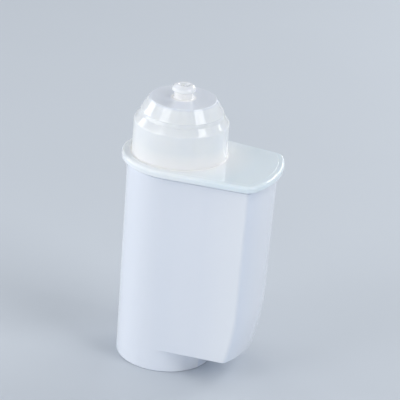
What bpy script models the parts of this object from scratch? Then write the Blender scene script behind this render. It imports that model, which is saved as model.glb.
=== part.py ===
"""Water filter cartridge for a coffee machine, standing on its round base.

Metres, +Z up. The fin points along +X, and the origin is on the floor under the middle of the whole
outline. Water enters through the slots in the base, rises through the granulate into the dome and leaves
down the riser tube to the outlet socket in the base.

Nearly every piece is a skin lofted through level rings. All rings have the same count of points, matched
by polar angle about the cylinder's axis, so that a round ring can follow one with the fin's outline.
"""
import math

import bmesh
import bpy

# Housing, outside
BODY_HEIGHT = 0.0880                    # floor to the underside of the rim plate
BODY_RADIUS = 0.0208                    # cylinder, measured at the rim plate
BODY_DRAFT = math.radians(0.28)         # the cylinder and the fin's sides close in downwards
FIN_REACH = 0.0405                      # cylinder axis to the end wall, at the rim plate
FIN_END_DRAFT = math.radians(0.64)      # the end wall leans in downwards
FIN_SIDE_TAPER = math.radians(5.3)      # each side closes in towards the end wall
FIN_END_RADIUS = 0.0378                 # bulge of the end wall, seen from above
FIN_CORNER_RADIUS = 0.0023
FIN_FLOOR_HEIGHT = 0.0097               # floor to the underside of the fin
FIN_TUCK_RISE = 0.0242                  # height of the end wall's stretch that curves in
FIN_TUCK_RADIUS = 0.0943

# Housing, inside and base
HOUSING_WALL = 0.0015
SMALLEST_CORNER = 0.0005
FOOT_DEPTH = 0.0015                     # the base's underside is recessed this much
FOOT_WIDTH = 0.0022
FOOT_EDGE = 0.0005
BASE_THICKNESS = 0.0016
BASE_SLOT_COUNT = 12
BASE_SLOT_WIDTH = 0.0030
BASE_SLOT_MARGIN = 0.0014               # from the slots' ends to the collar and to the foot
SOCKET_RADIUS = 0.0055
SOCKET_DEPTH = 0.0110                   # from the base's underside to the socket's roof
SOCKET_ROOF = 0.0015
COLLAR_WALL = 0.0010                    # left behind the seal's groove
MOUTH_CHAMFER = 0.0006
SPIGOT_RADIUS = 0.0036
SPIGOT_WALL = 0.0010
SPIGOT_HEIGHT = 0.0060

# Seal in the socket
SEAL_SECTION = 0.0020                   # height of the ring, and about its width
SEAL_PROUD = 0.0005                     # how far it stands into the socket
SEAL_HEIGHT = 0.0020                    # from the base's underside to the groove
SEAL_SIDES = 8

# Cover
RIM_OVERHANG = 0.00235
RIM_THICKNESS = 0.0027
RIM_EDGE_RADIUS = 0.0012
RIM_LOWER_CHAMFER = 0.0003
WELD_GROOVE_DEPTH = 0.0010
SKIRT_DEPTH = 0.0050
SKIRT_WALL = 0.0012
COVER_WALL = 0.0015
DOME_WALL_RISE = 0.01393
DOME_DRAFT = math.radians(0.4)
DOME_FOOT_FILLET = 0.0008
SHOULDER_RISE = 0.00279                 # sloping band above the wall
SHOULDER_INSET = 0.00201
LEDGE_RISE = 0.0016                     # steep ring above the band
LEDGE_INSET = 0.00053
CONE_RISE = 0.00524
CONE_INSET = 0.0032
NECK_RADIUS = 0.0039
NECK_HEIGHT = 0.00284
NECK_FILLET = 0.0004
KNOB_OVERHANG = 0.00095                 # head beyond the neck
KNOB_UNDERSIDE = 0.00073                # neck's top to the head's widest level
KNOB_CROWN = 0.00198                    # widest level to the head's top
DIMPLE_RADIUS = 0.0026
DIMPLE_FLOOR_RADIUS = 0.0014
DIMPLE_DEPTH = 0.0005

# Contents
CLEARANCE = 0.0003
SIEVE_THICKNESS = 0.0010
SIEVE_SLOT_COUNT = 30
SIEVE_SLOT_WIDTH = 0.0007
LOWER_FLEECE_THICKNESS = 0.0030
UPPER_FLEECE_THICKNESS = 0.0030
UPPER_SIEVE_THICKNESS = 0.0018
UPPER_SLOT_LENGTH = 0.0080
UPPER_SLOT_WIDTH = 0.0014
UPPER_SLOT_STEP = 0.0042                # between rows of slots
UPPER_SLOT_BRIDGE = 0.0025              # left between two slots in a row
UPPER_SLOT_MARGIN = 0.0018              # left between the slots and the plate's edges
RISER_WALL = 0.0011
RISER_HEADROOM = 0.0070                 # from its mouth to the dome's roof

# Steps of the curves
END_STEPS = 4
CORNER_STEPS = 3
SIDE_STEPS = 7
BACK_STEPS = 12
TUCK_STEPS = 4
KNOB_STEPS = 4
RIM_STEPS = 3
FILLET_STEPS = 2
TUBE_SIDES = 32
MERGE = 1e-6

# Places that follow from the sizes
AXIS_X = (BODY_RADIUS - FIN_REACH) / 2
BASE_UNDERSIDE = FOOT_DEPTH
BASE_FLOOR = BASE_UNDERSIDE + BASE_THICKNESS
FIN_INNER_FLOOR = FIN_FLOOR_HEIGHT + HOUSING_WALL
TUCK_HEIGHT = FIN_FLOOR_HEIGHT + FIN_TUCK_RISE
SOCKET_TOP = BASE_UNDERSIDE + SOCKET_DEPTH
COLLAR_TOP = SOCKET_TOP + SOCKET_ROOF
GROOVE_LOW = BASE_UNDERSIDE + SEAL_HEIGHT
GROOVE_HIGH = GROOVE_LOW + SEAL_SECTION + 2 * CLEARANCE
GROOVE_RADIUS = SOCKET_RADIUS - SEAL_PROUD + SEAL_SECTION + CLEARANCE
COLLAR_RADIUS = GROOVE_RADIUS + COLLAR_WALL
RISER_BORE = SPIGOT_RADIUS + CLEARANCE
RISER_RADIUS = RISER_BORE + RISER_WALL
PLATE_TOP = BODY_HEIGHT + RIM_THICKNESS
SKIRT_OUTSIDE = -HOUSING_WALL - CLEARANCE
SKIRT_INSIDE = SKIRT_OUTSIDE - SKIRT_WALL
CHAMBER_RADIUS = BODY_RADIUS + SKIRT_INSIDE
DOME_RADIUS = CHAMBER_RADIUS + COVER_WALL
WALL_TOP = PLATE_TOP + DOME_WALL_RISE
SHOULDER_TOP = WALL_TOP + SHOULDER_RISE
LEDGE_TOP = SHOULDER_TOP + LEDGE_RISE
DOME_TOP = LEDGE_TOP + CONE_RISE
NECK_TOP = DOME_TOP + NECK_HEIGHT
KNOB_WIDEST = NECK_TOP + KNOB_UNDERSIDE
KNOB_TOP = KNOB_WIDEST + KNOB_CROWN
RISER_TOP = DOME_TOP - COVER_WALL - RISER_HEADROOM
INLET_SIEVE_LOW = BASE_FLOOR + CLEARANCE
INLET_SIEVE_HIGH = INLET_SIEVE_LOW + SIEVE_THICKNESS
LOWER_FLEECE_LOW = INLET_SIEVE_HIGH + CLEARANCE
LOWER_FLEECE_HIGH = LOWER_FLEECE_LOW + LOWER_FLEECE_THICKNESS
UPPER_SIEVE_HIGH = BODY_HEIGHT - SKIRT_DEPTH - CLEARANCE
UPPER_SIEVE_LOW = UPPER_SIEVE_HIGH - UPPER_SIEVE_THICKNESS
UPPER_FLEECE_HIGH = UPPER_SIEVE_LOW - CLEARANCE
UPPER_FLEECE_LOW = UPPER_FLEECE_HIGH - UPPER_FLEECE_THICKNESS
BED_LOW = LOWER_FLEECE_HIGH + CLEARANCE
BED_HIGH = UPPER_FLEECE_LOW - CLEARANCE


def body_radius(z):
    """Outer radius of the cylinder at a height."""
    return BODY_RADIUS - (BODY_HEIGHT - z) * math.tan(BODY_DRAFT)


def fin_reach(z):
    """Distance from the cylinder's axis to the end wall at a height, with the curve near its foot."""
    reach = FIN_REACH - (BODY_HEIGHT - z) * math.tan(FIN_END_DRAFT)
    below = max(TUCK_HEIGHT - z, 0.0)
    return reach - FIN_TUCK_RADIUS + math.sqrt(FIN_TUCK_RADIUS ** 2 - below ** 2)


def corner_centre(radius, reach, end_radius, corner_radius):
    """Centre of the small arc that joins the straight side to the end wall."""
    normal = (math.sin(FIN_SIDE_TAPER), math.cos(FIN_SIDE_TAPER))
    along = (math.cos(FIN_SIDE_TAPER), -math.sin(FIN_SIDE_TAPER))
    end_centre = reach - end_radius
    start_x = (radius - corner_radius) * normal[0] - end_centre
    start_y = (radius - corner_radius) * normal[1]
    lead = start_x * along[0] + start_y * along[1]
    spare = (end_radius - corner_radius) ** 2 - start_x ** 2 - start_y ** 2
    travel = math.sqrt(lead ** 2 + spare) - lead
    return end_centre + start_x + travel * along[0], start_y + travel * along[1]


def outline(radius, reach, end_radius, corner_radius):
    """The body seen from above: bulged end wall, small corners, tapering sides and round back."""
    centre_x, centre_y = corner_centre(radius, reach, end_radius, corner_radius)
    end_centre = reach - end_radius
    end_angle = math.atan2(centre_y, centre_x - end_centre)
    side_angle = math.pi / 2 - FIN_SIDE_TAPER
    half = []
    for step in range(END_STEPS + 1):
        angle = end_angle * step / END_STEPS
        half.append((end_centre + end_radius * math.cos(angle), end_radius * math.sin(angle)))
    for step in range(1, CORNER_STEPS + 1):
        angle = end_angle + (side_angle - end_angle) * step / CORNER_STEPS
        half.append((centre_x + corner_radius * math.cos(angle), centre_y + corner_radius * math.sin(angle)))
    first = math.atan2(half[-1][1], half[-1][0])
    for step in range(1, SIDE_STEPS + 1):
        angle = first + (side_angle - first) * step / SIDE_STEPS
        distance = radius / math.cos(angle - side_angle)
        half.append((distance * math.cos(angle), distance * math.sin(angle)))
    for step in range(1, BACK_STEPS + 1):
        angle = side_angle + (math.pi - side_angle) * step / BACK_STEPS
        half.append((radius * math.cos(angle), radius * math.sin(angle)))
    return half + [(x, -y) for x, y in reversed(half[1:-1])]


def fin_ring(z, offset=0.0):
    """Ring of points round the body at a height, moved out by the offset, or in where it is negative."""
    corner = max(FIN_CORNER_RADIUS + offset, SMALLEST_CORNER)
    points = outline(body_radius(z) + offset, fin_reach(z) + offset, FIN_END_RADIUS + offset, corner)
    return [(AXIS_X + x, y, z) for x, y in points]


FOOT_INSIDE = body_radius(0.0) - FOOT_WIDTH
RING_ANGLES = [math.atan2(y, x - AXIS_X) for x, y, z in fin_ring(BODY_HEIGHT)]
TUBE_ANGLES = [2 * math.pi * side / TUBE_SIDES for side in range(TUBE_SIDES)]


def round_ring(radius, z, angles=None):
    """Round ring about the cylinder's axis, its points at the polar angles of the finned rings."""
    angles = angles or RING_ANGLES
    return [(AXIS_X + radius * math.cos(angle), radius * math.sin(angle), z) for angle in angles]


def flat_ring(z, offset):
    """Ring of the rim plate: the body's outline at the plate, moved out and set at a height."""
    return [(x, y, z) for x, y, level in fin_ring(BODY_HEIGHT, offset)]


def pole(z):
    """A ring drawn together to one point on the cylinder's axis."""
    return [(AXIS_X, 0.0, z)]


def tuck_heights(low):
    """Heights from the foot of the end wall's curve to its top."""
    return [low + (TUCK_HEIGHT - low) * step / TUCK_STEPS for step in range(TUCK_STEPS + 1)]


def material(name, colour, roughness):
    """Plain plastic, fibre or granulate look for one piece."""
    made = bpy.data.materials.new(name)
    made.use_nodes = True
    shader = made.node_tree.nodes["Principled BSDF"]
    shader.inputs["Base Color"].default_value = (*colour, 1.0)
    shader.inputs["Roughness"].default_value = roughness
    shader.inputs["Metallic"].default_value = 0.0
    return made


def mesh_object(name, bm, look):
    """Puts a finished bmesh into the scene as one named object."""
    bmesh.ops.recalc_face_normals(bm, faces=bm.faces)
    mesh = bpy.data.meshes.new(name)
    bm.to_mesh(mesh)
    bm.free()
    mesh.shade_smooth()
    mesh.set_sharp_from_angle(angle=math.radians(30))
    piece = bpy.data.objects.new(name, mesh)
    bpy.context.scene.collection.objects.link(piece)
    if look:
        mesh.materials.append(look)
    return piece


def loft(name, rings, look, closed=False):
    """Skins a row of rings. A closed row joins its last ring to its first, and an open one ends in poles."""
    bm = bmesh.new()
    layers = [[bm.verts.new(point) for point in ring] for ring in rings]
    following = layers[1:] + layers[:1] if closed else layers[1:]
    for lower, upper in zip(layers, following):
        count = max(len(lower), len(upper))
        for index in range(count):
            after = (index + 1) % count
            corners = [lower[index % len(lower)], lower[after % len(lower)]]
            corners += [upper[after % len(upper)], upper[index % len(upper)]]
            bm.faces.new(list(dict.fromkeys(corners)))
    bmesh.ops.remove_doubles(bm, verts=bm.verts, dist=MERGE)
    return mesh_object(name, bm, look)


def add_box(bm, centre_x, centre_y, length, width, low, high, turn=0.0):
    """Adds one upright block, its length turned about the block's own middle."""
    made = bmesh.ops.create_cube(bm, size=1.0)["verts"]
    for vertex in made:
        x = vertex.co.x * length
        y = vertex.co.y * width
        vertex.co.x = centre_x + x * math.cos(turn) - y * math.sin(turn)
        vertex.co.y = centre_y + x * math.sin(turn) + y * math.cos(turn)
        vertex.co.z = low if vertex.co.z < 0 else high


def radial_slots(name, width, count, low, high):
    """Cutter for a star of slots between the collar and the foot, through a disc from low to high."""
    bm = bmesh.new()
    inner = COLLAR_RADIUS + BASE_SLOT_MARGIN
    outer = FOOT_INSIDE - BASE_SLOT_MARGIN
    middle = (inner + outer) / 2
    for index in range(count):
        angle = 2 * math.pi * (index + 0.5) / count
        centre_x = AXIS_X + middle * math.cos(angle)
        add_box(bm, centre_x, middle * math.sin(angle), outer - inner, width, low - CLEARANCE, high + CLEARANCE, angle)
    return mesh_object(name, bm, None)


def cut(piece, cutter):
    """Cuts one piece with a hidden cutter."""
    cutter.hide_render = True
    cutter.display_type = "WIRE"
    boolean = piece.modifiers.new("slots", "BOOLEAN")
    boolean.operation = "DIFFERENCE"
    boolean.solver = "EXACT"
    boolean.object = cutter


def make_housing():
    """The white outer shell with its base, outlet socket and spigot, in one moulding."""
    tongue_top = BODY_HEIGHT + WELD_GROOVE_DEPTH - CLEARANCE
    bore = SPIGOT_RADIUS - SPIGOT_WALL
    rings = [
        round_ring(SOCKET_RADIUS + MOUTH_CHAMFER, BASE_UNDERSIDE),
        round_ring(FOOT_INSIDE, BASE_UNDERSIDE),
        round_ring(FOOT_INSIDE, 0.0),
        round_ring(body_radius(0.0) - FOOT_EDGE, 0.0),
        round_ring(body_radius(FOOT_EDGE), FOOT_EDGE),
        round_ring(body_radius(FIN_FLOOR_HEIGHT), FIN_FLOOR_HEIGHT),
    ]
    rings += [fin_ring(z) for z in tuck_heights(FIN_FLOOR_HEIGHT)]
    rings += [fin_ring(tongue_top), fin_ring(tongue_top, -HOUSING_WALL)]
    rings += [fin_ring(z, -HOUSING_WALL) for z in reversed(tuck_heights(FIN_INNER_FLOOR))]
    rings += [
        round_ring(body_radius(FIN_INNER_FLOOR) - HOUSING_WALL, FIN_INNER_FLOOR),
        round_ring(body_radius(BASE_FLOOR) - HOUSING_WALL, BASE_FLOOR),
        round_ring(COLLAR_RADIUS, BASE_FLOOR),
        round_ring(COLLAR_RADIUS, COLLAR_TOP),
        round_ring(SPIGOT_RADIUS, COLLAR_TOP),
        round_ring(SPIGOT_RADIUS, COLLAR_TOP + SPIGOT_HEIGHT),
        round_ring(bore, COLLAR_TOP + SPIGOT_HEIGHT),
        round_ring(bore, SOCKET_TOP),
        round_ring(SOCKET_RADIUS, SOCKET_TOP),
        round_ring(SOCKET_RADIUS, GROOVE_HIGH),
        round_ring(GROOVE_RADIUS, GROOVE_HIGH),
        round_ring(GROOVE_RADIUS, GROOVE_LOW),
        round_ring(SOCKET_RADIUS, GROOVE_LOW),
        round_ring(SOCKET_RADIUS, BASE_UNDERSIDE + MOUTH_CHAMFER),
    ]
    housing = loft("housing", rings, material("housing", (0.80, 0.83, 0.86), 0.35), closed=True)
    cut(housing, radial_slots("base_slot_cutter", BASE_SLOT_WIDTH, BASE_SLOT_COUNT, BASE_UNDERSIDE, BASE_FLOOR))


def dome_profile():
    """Radius and height of the dome's corners, from the foot of its wall to the edge of its flat top."""
    wall_end = DOME_RADIUS - DOME_WALL_RISE * math.tan(DOME_DRAFT)
    shoulder_end = wall_end - SHOULDER_INSET
    ledge_end = shoulder_end - LEDGE_INSET
    return [(DOME_RADIUS, PLATE_TOP), (wall_end, WALL_TOP), (shoulder_end, SHOULDER_TOP),
            (ledge_end, LEDGE_TOP), (ledge_end - CONE_INSET, DOME_TOP)]


def inside_profile(profile, wall):
    """The hollow's corners, one wall thickness in from a profile that ends in a flat top."""
    ends = profile + [(0.0, profile[-1][1])]
    normals = []
    for (r0, z0), (r1, z1) in zip(ends, ends[1:]):
        length = math.hypot(r1 - r0, z1 - z0)
        normals.append(((z1 - z0) / length, (r0 - r1) / length))
    inside = []
    for (r, z), before, after in zip(profile[1:], normals, normals[1:]):
        spread = 1.0 + before[0] * after[0] + before[1] * after[1]
        inside.append((r - wall * (before[0] + after[0]) / spread, z - wall * (before[1] + after[1]) / spread))
    return inside


def knob_rings():
    """The knob from its dimple over its crown and under its head to its neck's foot."""
    floor = KNOB_TOP - DIMPLE_DEPTH
    crown = NECK_RADIUS + KNOB_OVERHANG - DIMPLE_RADIUS
    rings = [pole(floor), round_ring(DIMPLE_FLOOR_RADIUS, floor)]
    for step in range(KNOB_STEPS + 1):
        angle = math.pi / 2 * step / KNOB_STEPS
        rings.append(round_ring(DIMPLE_RADIUS + crown * math.sin(angle), KNOB_WIDEST + KNOB_CROWN * math.cos(angle)))
    for step in range(1, KNOB_STEPS + 1):
        angle = math.pi / 2 * step / KNOB_STEPS
        rings.append(round_ring(NECK_RADIUS + KNOB_OVERHANG * math.cos(angle),
                                KNOB_WIDEST - KNOB_UNDERSIDE * math.sin(angle)))
    rings.append(round_ring(NECK_RADIUS, DOME_TOP + NECK_FILLET))
    rings.append(round_ring(NECK_RADIUS + NECK_FILLET, DOME_TOP))
    return rings


def make_cover():
    """The glossy lid in one moulding: rim plate, stepped dome and knob, hollow from below."""
    dome = dome_profile()
    rim_low = BODY_HEIGHT
    groove_roof = BODY_HEIGHT + WELD_GROOVE_DEPTH
    rings = knob_rings()
    rings += [round_ring(r, z) for r, z in reversed(dome[1:])]
    for step in range(FILLET_STEPS + 1):
        angle = math.pi / 2 * step / FILLET_STEPS
        spread = DOME_FOOT_FILLET * (1.0 - math.cos(angle))
        rings.append(round_ring(DOME_RADIUS + spread, PLATE_TOP + DOME_FOOT_FILLET * (1.0 - math.sin(angle))))
    for step in range(RIM_STEPS + 1):
        angle = math.pi / 2 * step / RIM_STEPS
        inset = RIM_EDGE_RADIUS * (1.0 - math.sin(angle))
        rings.append(flat_ring(PLATE_TOP - RIM_EDGE_RADIUS * (1.0 - math.cos(angle)), RIM_OVERHANG - inset))
    rings += [
        flat_ring(rim_low + RIM_LOWER_CHAMFER, RIM_OVERHANG),
        flat_ring(rim_low, RIM_OVERHANG - RIM_LOWER_CHAMFER),
        flat_ring(rim_low, CLEARANCE),
        flat_ring(groove_roof, CLEARANCE),
        flat_ring(groove_roof, SKIRT_OUTSIDE),
        fin_ring(rim_low - SKIRT_DEPTH, SKIRT_OUTSIDE),
        fin_ring(rim_low - SKIRT_DEPTH, SKIRT_INSIDE),
        flat_ring(rim_low, SKIRT_INSIDE),
        round_ring(CHAMBER_RADIUS, rim_low),
    ]
    inside = inside_profile(dome, COVER_WALL)
    rings += [round_ring(r, z) for r, z in inside]
    rings.append(pole(inside[-1][1]))
    loft("cover", rings, material("cover", (0.82, 0.83, 0.82), 0.15))


def make_base_disc(name, low, high, look):
    """A flat ring that lies round the outlet collar inside the cylinder."""
    inner = COLLAR_RADIUS + CLEARANCE
    outer_low = body_radius(low) - HOUSING_WALL - CLEARANCE
    outer_high = body_radius(high) - HOUSING_WALL - CLEARANCE
    rings = [round_ring(inner, low), round_ring(outer_low, low), round_ring(outer_high, high), round_ring(inner, high)]
    return loft(name, rings, look, closed=True)


def make_inlet_sieve():
    """The fine slotted disc over the base's slots."""
    sieve = make_base_disc("inlet_sieve", INLET_SIEVE_LOW, INLET_SIEVE_HIGH,
                           material("inlet_sieve", (0.78, 0.79, 0.79), 0.45))
    cut(sieve, radial_slots("inlet_sieve_cutter", SIEVE_SLOT_WIDTH, SIEVE_SLOT_COUNT,
                            INLET_SIEVE_LOW, INLET_SIEVE_HIGH))


def make_bed():
    """The packed granulate, which fills the fin and the cylinder round the riser."""
    fit = -HOUSING_WALL - CLEARANCE
    fin_floor = FIN_INNER_FLOOR + CLEARANCE
    hole = RISER_RADIUS + CLEARANCE
    collar = COLLAR_RADIUS + CLEARANCE
    step = COLLAR_TOP + CLEARANCE
    rings = [round_ring(body_radius(BED_LOW) + fit, BED_LOW), round_ring(body_radius(fin_floor) + fit, fin_floor)]
    rings += [fin_ring(z, fit) for z in tuck_heights(fin_floor)]
    rings += [fin_ring(BED_HIGH, fit), round_ring(hole, BED_HIGH), round_ring(hole, step)]
    rings += [round_ring(collar, step), round_ring(collar, BED_LOW)]
    loft("granulate_bed", rings, material("granulate_bed", (0.10, 0.075, 0.05), 0.7), closed=True)


def make_upper_plate(name, low, high, look):
    """A flat piece that fills the housing's section and has a hole for the riser."""
    fit = -HOUSING_WALL - CLEARANCE
    hole = RISER_RADIUS + CLEARANCE
    return loft(name, [fin_ring(low, fit), fin_ring(high, fit), round_ring(hole, high), round_ring(hole, low)],
                look, closed=True)


def slot_fits(x, y):
    """True where a slot centred there keeps its margin to the upper sieve's edge and to its hole."""
    fit = -HOUSING_WALL - CLEARANCE - UPPER_SLOT_MARGIN
    edge = outline(body_radius(UPPER_SIEVE_LOW) + fit, fin_reach(UPPER_SIEVE_LOW) + fit, FIN_END_RADIUS + fit,
                   SMALLEST_CORNER)
    corners = [(x + sx * UPPER_SLOT_LENGTH / 2, y + sy * UPPER_SLOT_WIDTH / 2) for sx in (-1, 1) for sy in (-1, 1)]
    for (x0, y0), (x1, y1) in zip(edge, edge[1:] + edge[:1]):
        if any((x1 - x0) * (cy - y0) - (y1 - y0) * (cx - x0) < 0 for cx, cy in corners):
            return False
    near_x = max(abs(x) - UPPER_SLOT_LENGTH / 2, 0.0)
    near_y = max(abs(y) - UPPER_SLOT_WIDTH / 2, 0.0)
    return math.hypot(near_x, near_y) > RISER_RADIUS + CLEARANCE + UPPER_SLOT_MARGIN


def make_upper_sieve():
    """The slotted plate that holds the fleece and the granulate down."""
    sieve = make_upper_plate("upper_sieve", UPPER_SIEVE_LOW, UPPER_SIEVE_HIGH,
                             material("upper_sieve", (0.78, 0.79, 0.79), 0.45))
    bm = bmesh.new()
    pitch = UPPER_SLOT_LENGTH + UPPER_SLOT_BRIDGE
    rows = int(BODY_RADIUS / UPPER_SLOT_STEP)
    columns = int(FIN_REACH / pitch) + 1
    for row in range(-rows, rows + 1):
        for column in range(-columns, columns + 1):
            x = column * pitch
            y = row * UPPER_SLOT_STEP
            if slot_fits(x, y):
                add_box(bm, AXIS_X + x, y, UPPER_SLOT_LENGTH, UPPER_SLOT_WIDTH,
                        UPPER_SIEVE_LOW - CLEARANCE, UPPER_SIEVE_HIGH + CLEARANCE)
    cut(sieve, mesh_object("upper_sieve_cutter", bm, None))


def make_riser():
    """The central tube, pushed over the spigot and open near the dome's roof."""
    low = COLLAR_TOP + CLEARANCE
    sizes = [(RISER_BORE, low), (RISER_RADIUS, low), (RISER_RADIUS, RISER_TOP), (RISER_BORE, RISER_TOP)]
    rings = [round_ring(r, z, TUBE_ANGLES) for r, z in sizes]
    loft("riser_tube", rings, material("riser_tube", (0.80, 0.81, 0.80), 0.35), closed=True)


def make_seal():
    """The soft ring in the socket's groove, standing a little into the socket."""
    half = SEAL_SECTION / 2
    middle_radius = SOCKET_RADIUS - SEAL_PROUD + half
    middle_height = GROOVE_LOW + CLEARANCE + half
    rings = []
    for side in range(SEAL_SIDES):
        angle = 2 * math.pi * (side + 0.5) / SEAL_SIDES
        reach = half / math.cos(math.pi / SEAL_SIDES)
        rings.append(round_ring(middle_radius + reach * math.cos(angle), middle_height + reach * math.sin(angle),
                                TUBE_ANGLES))
    loft("outlet_seal", rings, material("outlet_seal", (0.45, 0.47, 0.50), 0.6), closed=True)


def build():
    for old in list(bpy.data.objects):
        bpy.data.objects.remove(old, do_unlink=True)
    fleece = (0.86, 0.86, 0.83)
    make_housing()
    make_cover()
    make_inlet_sieve()
    make_base_disc("lower_fleece", LOWER_FLEECE_LOW, LOWER_FLEECE_HIGH, material("lower_fleece", fleece, 0.9))
    make_bed()
    make_upper_plate("upper_fleece", UPPER_FLEECE_LOW, UPPER_FLEECE_HIGH, material("upper_fleece", fleece, 0.9))
    make_upper_sieve()
    make_riser()
    make_seal()


build()
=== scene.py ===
"""Looks of the coffee machine water filter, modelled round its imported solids. Metres, +Z up.

The housing and the cover are skins lofted through level rings, as the solids are, but with fine
steps and with the small radii of a real moulding. The fin points along +X. The pieces inside are
modelled too.
"""
import math

import bmesh
import bpy
import numpy as np
from mathutils import Matrix, Vector


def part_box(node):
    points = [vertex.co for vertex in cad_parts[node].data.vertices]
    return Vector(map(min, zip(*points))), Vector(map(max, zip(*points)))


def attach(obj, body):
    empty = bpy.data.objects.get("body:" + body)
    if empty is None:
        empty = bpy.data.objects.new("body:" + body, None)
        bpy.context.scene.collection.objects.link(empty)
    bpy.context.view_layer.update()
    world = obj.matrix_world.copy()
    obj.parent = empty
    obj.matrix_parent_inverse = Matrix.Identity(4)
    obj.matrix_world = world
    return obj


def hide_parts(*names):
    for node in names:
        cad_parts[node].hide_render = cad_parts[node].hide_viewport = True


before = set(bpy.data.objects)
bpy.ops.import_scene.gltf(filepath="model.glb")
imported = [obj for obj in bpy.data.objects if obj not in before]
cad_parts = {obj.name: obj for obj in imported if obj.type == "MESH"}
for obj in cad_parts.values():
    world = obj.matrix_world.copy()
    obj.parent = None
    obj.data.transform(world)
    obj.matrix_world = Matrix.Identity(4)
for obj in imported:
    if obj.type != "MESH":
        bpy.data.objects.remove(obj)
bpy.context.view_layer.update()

BODY = "root"

# Places read from the frame
HOUSING_LOW, HOUSING_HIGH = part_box("housing")
COVER_LOW, COVER_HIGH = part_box("cover")
RISER_LOW, RISER_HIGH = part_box("riser_tube")
SEAL_LOW, SEAL_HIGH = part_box("outlet_seal")
AXIS_X = (RISER_LOW.x + RISER_HIGH.x) / 2
TOP_HEIGHT = HOUSING_HIGH.z
TOP_RADIUS = AXIS_X - HOUSING_LOW.x
TOP_REACH = HOUSING_HIGH.x - AXIS_X
RISER_RADIUS = RISER_HIGH.x - AXIS_X
SEAL_RADIUS = SEAL_HIGH.x - AXIS_X
KNOB_TOP = COVER_HIGH.z

# Housing
BODY_DRAFT = math.radians(0.28)
FIN_END_DRAFT = math.radians(0.64)
FIN_SIDE_TAPER = math.radians(5.3)
FIN_END_RADIUS = 0.0378
FIN_CORNER_RADIUS = 0.0023
FIN_FLOOR_HEIGHT = 0.0097
FIN_TUCK_RISE = 0.0242
FIN_TUCK_RADIUS = 0.0943
FIN_EDGE_RADIUS = 0.0006
FIN_FLOOR_FILLET = 0.0004
HOUSING_WALL = 0.0015
SMALLEST_CORNER = 0.0005
FOOT_DEPTH = 0.0015
FOOT_WIDTH = 0.0022
FOOT_EDGE_RADIUS = 0.0006
BASE_THICKNESS = 0.0016
BASE_SLOT_COUNT = 12
BASE_SLOT_WIDTH = 0.0030
BASE_SLOT_MARGIN = 0.0014
SOCKET_RADIUS = 0.0055
SOCKET_DEPTH = 0.0110
SOCKET_ROOF = 0.0015
COLLAR_WALL = 0.0010
MOUTH_CHAMFER = 0.0006
SPIGOT_RADIUS = 0.0036
SPIGOT_WALL = 0.0010
SPIGOT_HEIGHT = 0.0060
MOULD_RADIUS = 0.0003                   # edges that nothing else rounds
SEAM_DROP = 0.0013                      # from the rim's underside to the fine groove below it
SEAM_WIDTH = 0.0004
SEAM_DEPTH = 0.0004
SEAM_EDGE_RADIUS = 0.00006
SEAM_STEPS = 2

# Cover
SKIRT_DEPTH = 0.0050
SKIRT_WALL = 0.0012
RIM_THICKNESS = 0.0027
RIM_EDGE_RADIUS = 0.0012
RIM_LOWER_RADIUS = 0.0003
RIM_CORNER_RADIUS = 0.0050
RIM_MARGIN = 0.0026
RIM_STEP = 0.00005                      # how much lower the plate is outside that margin
WELD_GROOVE_DEPTH = 0.0010
COVER_WALL = 0.0015
DOME_WALL_RISE = 0.01393
DOME_DRAFT = math.radians(0.4)
DOME_FOOT_FILLET = 0.0007
DOME_FOOT_LIGHT_RISE = 0.0070                 # painted light bounced up from the plate whitens the wall over this height above the plate
PLATE_REFLECTION_FADE = 0.012                      # painted reflection of bluish surroundings: the plate grows bluer over this distance from the dome
SHOULDER_RISE = 0.00279
SHOULDER_INSET = 0.00201
LEDGE_RISE = 0.0016
LEDGE_INSET = 0.00053
LEDGE_SINK = 0.00014                    # the ledge lies this much behind the cone's lower edge
CONE_INSET = 0.0032
WALL_TOP_RADIUS = 0.0012
CREASE_RADIUS = 0.00014
TOP_EDGE_RADIUS = 0.00045
NECK_RADIUS = 0.0039
NECK_HEIGHT = 0.00284
NECK_FILLET = 0.0005
KNOB_OVERHANG = 0.00095
KNOB_UNDERSIDE = 0.00073
KNOB_CROWN = 0.00198
DIMPLE_RADIUS = 0.0026
DIMPLE_FLOOR_RADIUS = 0.0014
DIMPLE_DEPTH = 0.0005
GATE_RADIUS = 0.0005
GATE_SPREAD = 1.2                       # its foot's radius as a share of its top's
GATE_HEIGHT = 0.00025

# Contents
CLEARANCE = 0.0003
SIEVE_SLOT_COUNT = 30
SIEVE_SLOT_WIDTH = 0.0007
UPPER_SLOT_LENGTH = 0.0080
UPPER_SLOT_WIDTH = 0.0014
UPPER_SLOT_STEP = 0.0042
UPPER_SLOT_BRIDGE = 0.0025
UPPER_SLOT_MARGIN = 0.0018
SLOT_CORNER = 0.0003
SLOT_FLARE = 0.00015                    # broken edges of the slots
RISER_WALL = 0.0011
SEAL_SECTION = 0.0020
SEAL_SEAM = SEAL_SECTION / 40
GRAIN_STEP = 0.0016                     # distance between neighbouring lumps
GRAIN_JITTER = (0.12, 0.88)             # where a lump's middle may lie in its cell
GRAIN_REACH = GRAIN_STEP * 0.62         # radius of a lump
GRAIN_DEPTH = 0.00045                   # from a lump's top to the gaps beside it
BEAD_SIZE = 0.0011                      # the beads and grains themselves, in the material
BED_STEP = 0.0008                       # size of the bed's faces
FLEECE_STEP = 0.0005
FLEECE_EDGE_RADIUS = 0.0009
FLEECE_NAP = 0.00018
NAP_FINE = FLEECE_STEP * 2.2            # sizes of the nap's tufts and of its broad waves
NAP_BROAD = FLEECE_STEP * 9.0
NAP_BROAD_SHARE = 0.8
NAP_LIMIT = 1.6                         # the fine and broad dips together count no further

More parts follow.
